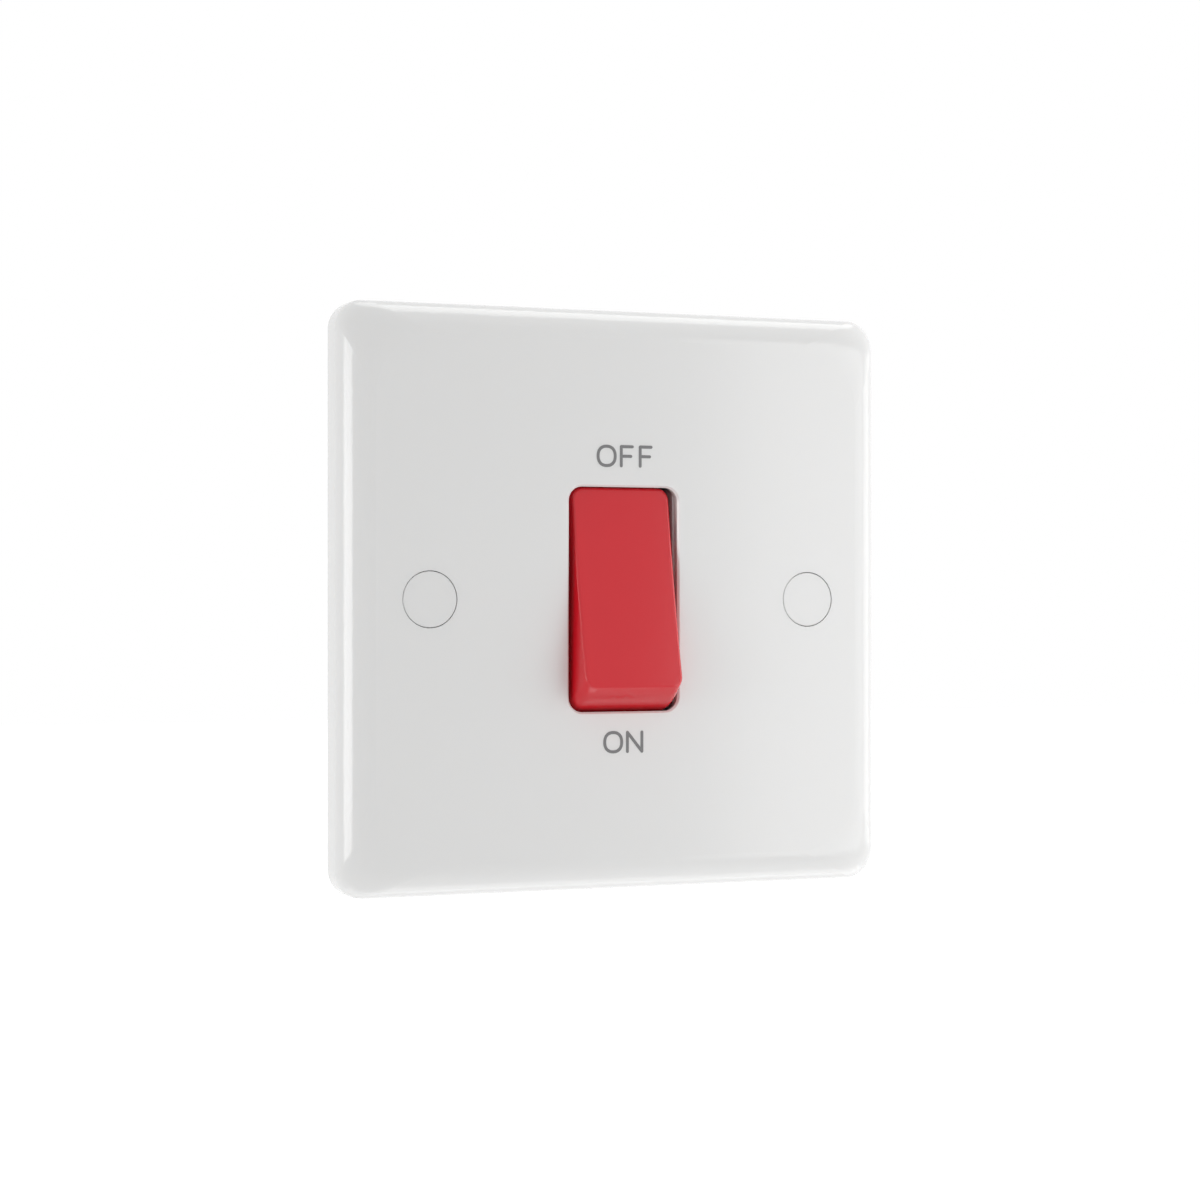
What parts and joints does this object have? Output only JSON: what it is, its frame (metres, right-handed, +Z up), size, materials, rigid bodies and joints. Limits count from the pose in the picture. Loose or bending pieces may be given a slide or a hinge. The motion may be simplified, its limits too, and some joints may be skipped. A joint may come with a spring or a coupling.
{
  "type": "cooker control unit",
  "caption": "White moulded wall plate with a red rocker marked OFF and ON, two flush screw caps and a dark rear housing with a double-pole see-saw contact mechanism.",
  "frame": {"origin": "centre of the plate on the wall plane, which is the flat rear rim of the plate", "axes": "+X to the right seen from the front, +Z up, +Y into the wall; the face looks along -Y"},
  "size_m": [0.086, 0.0404, 0.086],
  "materials": {
    "white_plate": "polished moulding, soft gloss",
    "white_caps": "soft gloss",
    "red_rocker": "gloss, fine-grained face",
    "dark_base": "matt moulding",
    "nylon": "matt natural",
    "spring_wire": "drawn wire",
    "copper": "rolled copper alloy",
    "silver_contacts": "silver alloy",
    "brass": "machined brass",
    "terminal_screws": "turned brass",
    "plated_screws": "zinc plated"
  },
  "bodies": {
    "switch_body": {"front_plate": "white_plate", "base_housing": "dark_base", "assembly_screws": "plated_screws", "earth_link": "brass", "screw_cap_left": "white_caps", "fixed_contact_left": "silver_contacts", "supply_strap_left": "brass", "load_strap_left": "brass", "screw_cap_right": "white_caps", "fixed_contact_right": "silver_contacts", "supply_strap_right": "brass", "load_strap_right": "brass", "live_supply_terminal": "brass", "live_supply_screw": "terminal_screws", "live_load_terminal": "brass", "live_load_screw": "terminal_screws", "neutral_supply_terminal": "brass", "neutral_supply_screw": "terminal_screws", "neutral_load_terminal": "brass", "neutral_load_screw": "terminal_screws", "earth_terminal_upper": "brass", "earth_screw_upper": "terminal_screws", "earth_terminal_lower": "brass", "earth_screw_lower": "terminal_screws"},
    "rocker": {"rocker": "red_rocker", "contact_spring_left": "spring_wire", "contact_spring_right": "spring_wire"},
    "plunger_left": {"plunger_left": "nylon"},
    "contact_arm_left": {"contact_arm_left": "copper", "moving_contact_left": "silver_contacts"},
    "plunger_right": {"plunger_right": "nylon"},
    "contact_arm_right": {"contact_arm_right": "copper", "moving_contact_right": "silver_contacts"}
  },
  "joints": [
    {"name": "rocker_tilt", "type": "hinge", "parent": "switch_body", "child": "rocker", "pos_m": [0, -0.0007, 0], "axis": [1, 0, 0], "range_deg": [0, 22.4]},
    {"name": "contact_arm_left_tilt", "type": "hinge", "parent": "switch_body", "child": "contact_arm_left", "pos_m": [-0.0046, 0.0107, 0], "axis": [1, 0, 0], "range_deg": [-16.8, 0]},
    {"name": "plunger_left_slide", "type": "slide", "parent": "rocker", "child": "plunger_left", "axis": [0, -0.981, 0.1942], "range_m": [0, 0.001], "stiffness_N_per_m": 400, "springref_m": -0.004, "deforming": ["contact_spring_left"]},
    {"name": "contact_arm_right_tilt", "type": "hinge", "parent": "switch_body", "child": "contact_arm_right", "pos_m": [0.0046, 0.0107, 0], "axis": [1, 0, 0], "range_deg": [-16.8, 0]},
    {"name": "plunger_right_slide", "type": "slide", "parent": "rocker", "child": "plunger_right", "axis": [0, -0.981, 0.1942], "range_m": [0, 0.001], "stiffness_N_per_m": 400, "springref_m": -0.004, "deforming": ["contact_spring_right"]}
  ],
  "couplings": [
    {"joint": "contact_arm_left_tilt", "follows": "rocker_tilt", "ratio": -0.75},
    {"joint": "contact_arm_right_tilt", "follows": "rocker_tilt", "ratio": -0.75}
  ]
}
